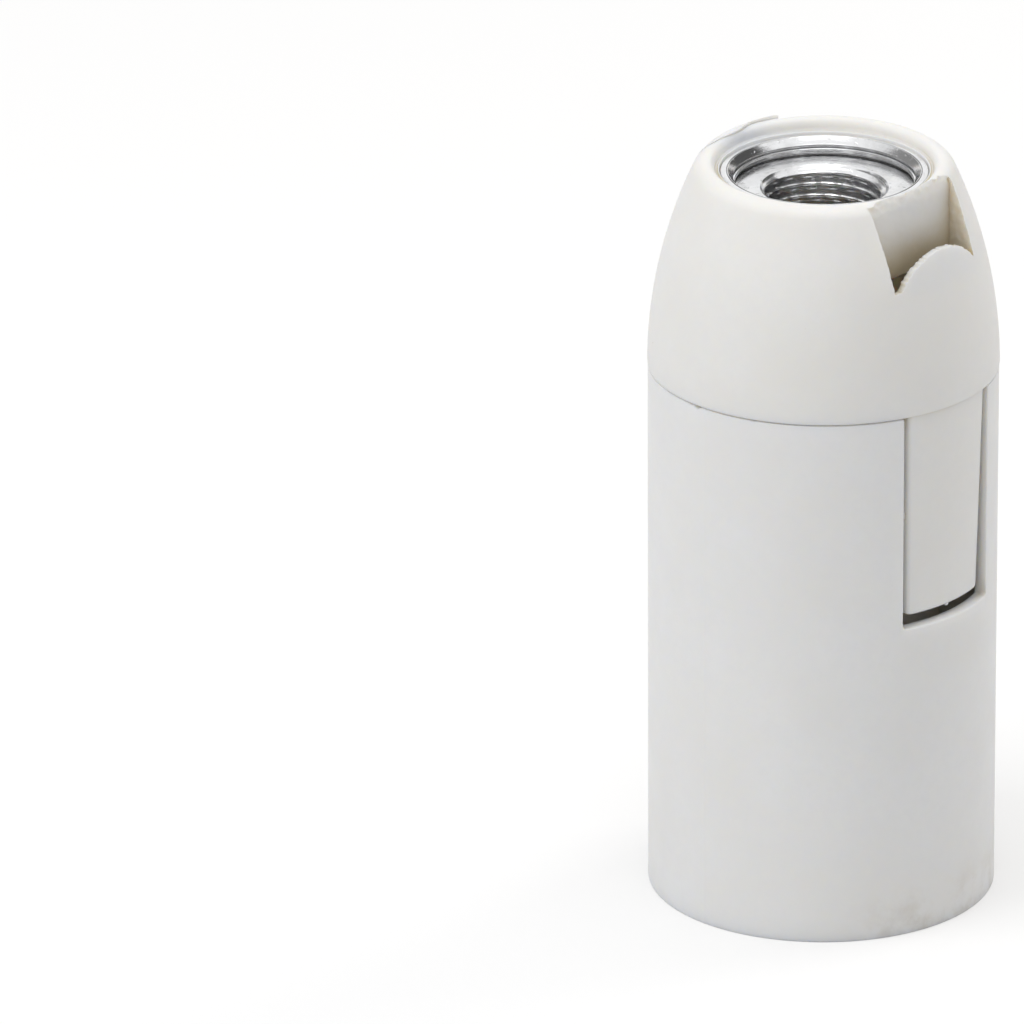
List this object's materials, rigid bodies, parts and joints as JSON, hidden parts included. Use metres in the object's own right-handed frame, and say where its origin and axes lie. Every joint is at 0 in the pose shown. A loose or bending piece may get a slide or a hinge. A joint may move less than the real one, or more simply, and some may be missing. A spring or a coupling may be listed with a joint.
{
  "type": "clip-on lamp holder",
  "caption": "Clip-together pendant lamp holder: white sleeve with a small screw socket core, and a domed cap with latch tongues and a threaded metal pipe entry.",
  "frame": {"origin": "centre of the sleeve's open rim, on the surface that the part stands on", "axes": "+Z along the lamp axis, from the open rim up to the pipe entry; +X through one latch tongue, -X through the other; the mould parting lines and the contact channels are at +Y and -Y"},
  "size_m": [0.028, 0.028, 0.062],
  "materials": {
    "white_plastic": "satin moulded thermoplastic, cool white",
    "cream_plastic": "satin moulded thermoplastic, slightly warmer white",
    "core_plastic": "smooth moulded thermoplastic, off-white",
    "plated_metal": "turned and bright plated",
    "brass": "rolled sheet, slightly tarnished",
    "screw_metal": "zinc plated"
  },
  "bodies": {
    "shell": {"outer_sleeve": "white_plastic", "socket_core": "core_plastic", "centre_terminal": "brass", "side_terminal": "brass", "clamp_washers": "screw_metal"},
    "cap": {"dome_cap": "cream_plastic", "threaded_entry": "plated_metal"},
    "centre_leaf": {"centre_contact": "brass"},
    "side_leaf": {"side_contact": "brass"},
    "screw_centre": {"terminal_screw_centre": "screw_metal"},
    "screw_side": {"terminal_screw_side": "screw_metal"}
  },
  "joints": [
    {"name": "cap_lift", "type": "slide", "parent": "shell", "child": "cap", "axis": [0, 0, 1], "range_m": [0, 0.03]},
    {"name": "centre_contact_spring", "type": "hinge", "parent": "shell", "child": "centre_leaf", "pos_m": [0, -0.00975, 0.02765], "axis": [1, 0, 0], "range_deg": [0, 5], "stiffness_Nm_per_rad": 0.02},
    {"name": "side_contact_spring", "type": "hinge", "parent": "shell", "child": "side_leaf", "pos_m": [0, 0.00845, 0.0289], "axis": [1, 0, 0], "range_deg": [0, 8], "stiffness_Nm_per_rad": 0.02},
    {"name": "screw_centre_turn", "type": "hinge", "parent": "shell", "child": "screw_centre", "pos_m": [0, -0.0062, 0.036], "axis": [0, 0, 1], "continuous": true},
    {"name": "screw_side_turn", "type": "hinge", "parent": "shell", "child": "screw_side", "pos_m": [0, 0.0062, 0.036], "axis": [0, 0, 1], "continuous": true}
  ]
}
